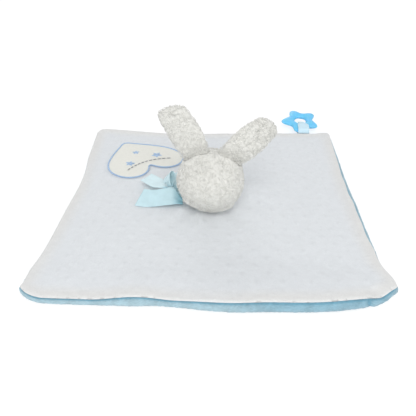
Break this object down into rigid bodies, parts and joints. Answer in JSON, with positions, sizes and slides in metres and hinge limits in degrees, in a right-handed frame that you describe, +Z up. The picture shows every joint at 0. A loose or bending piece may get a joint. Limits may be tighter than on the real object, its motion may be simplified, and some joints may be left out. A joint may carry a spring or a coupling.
{
  "type": "comfort blanket",
  "caption": "Square plush comfort blanket: a stuffed bunny head on a short neck in its middle, a satin bow, a sewn heart patch and a star-shaped teether on a ribbon loop.",
  "frame": {"origin": "the middle of the blanket's underside, on the surface that the blanket lies on", "axes": "+X to the right and +Y away from the viewer of the picture, the way the bunny looks and towards the teether's side; +Z up"},
  "size_m": [0.2964, 0.3635, 0.1093],
  "materials": {
    "white_minky": "matte short pile with raised dots",
    "blue_plush": "matte short plush",
    "curly_plush": "matte curly plush",
    "white_fabric": "matte",
    "patch_fabric": "matte, smooth",
    "satin_stitch": "silky thread",
    "satin_ribbon": "satin",
    "loop_ribbon": "satin",
    "silicone": "satin",
    "stuffing": "matte",
    "white_thread": "matte",
    "grey_thread": "silky thread",
    "pink_thread": "silky thread"
  },
  "bodies": {
    "blanket": {"blanket_backing": "blue_plush", "blanket_top": "white_minky", "edge_seam_thread": "white_thread", "heart_patch": "patch_fabric", "patch_border": "satin_stitch", "patch_star_1": "satin_stitch", "patch_star_2": "satin_stitch", "patch_star_3": "satin_stitch", "patch_stitch_row": "grey_thread", "neck_stitching": "white_thread"},
    "neck": {"neck_tube": "white_fabric", "neck_filling": "stuffing", "neck_ribbon": "satin_ribbon", "bow_knot": "satin_ribbon", "bow_loop_near": "satin_ribbon", "bow_loop_far": "satin_ribbon"},
    "head": {"head_gusset": "curly_plush", "head_side_left": "curly_plush", "head_side_right": "curly_plush", "head_filling": "stuffing", "eye_left": "grey_thread", "eye_right": "grey_thread", "mouth_stitch": "grey_thread", "nose": "pink_thread"},
    "ear_left": {"ear_left_lining": "curly_plush", "ear_left_back": "curly_plush", "ear_left_filling": "stuffing"},
    "ear_right": {"ear_right_lining": "curly_plush", "ear_right_back": "curly_plush", "ear_right_filling": "stuffing"},
    "tail_front": {"bow_tail_front": "satin_ribbon"},
    "tail_rear": {"bow_tail_rear": "satin_ribbon"},
    "loop": {"teether_loop": "loop_ribbon"},
    "teether": {"teether": "silicone"}
  },
  "joints": [
    {"name": "neck_swivel", "type": "hinge", "parent": "blanket", "child": "neck", "pos_m": [0, -0.004, 0.0113], "axis": [0, 0, 1], "range_deg": [-60, 60]},
    {"name": "head_nod", "type": "hinge", "parent": "neck", "child": "head", "pos_m": [0, -0.004, 0.0113], "axis": [-1, 0, 0], "range_deg": [0, 50]},
    {"name": "ear_left_flop", "type": "hinge", "parent": "head", "child": "ear_left", "pos_m": [-0.01403, -0.02487, 0.06773], "axis": [0.9311, 0, 0.3646], "range_deg": [-45, 45]},
    {"name": "ear_right_flop", "type": "hinge", "parent": "head", "child": "ear_right", "pos_m": [0.02007, -0.02487, 0.06415], "axis": [0.835, 0, -0.5503], "range_deg": [-45, 45]},
    {"name": "tail_front_lift", "type": "hinge", "parent": "neck", "child": "tail_front", "pos_m": [-0.0355, -0.0151, 0.01275], "axis": [0, 0.866, 0.5], "range_deg": [0, 50]},
    {"name": "tail_rear_lift", "type": "hinge", "parent": "neck", "child": "tail_rear", "pos_m": [-0.04272, -0.00066, 0.0142], "axis": [0.7193, 0.6947, 0], "range_deg": [0, 40]},
    {"name": "loop_fold", "type": "hinge", "parent": "blanket", "child": "loop", "pos_m": [0.1164, 0.15681, 0.0052], "axis": [1, 0, 0], "range_deg": [-20, 60]},
    {"name": "teether_swing", "type": "hinge", "parent": "loop", "child": "teether", "pos_m": [0.1146, 0.16732, 0.00744], "axis": [1, 0, 0], "range_deg": [-5, 5]}
  ]
}
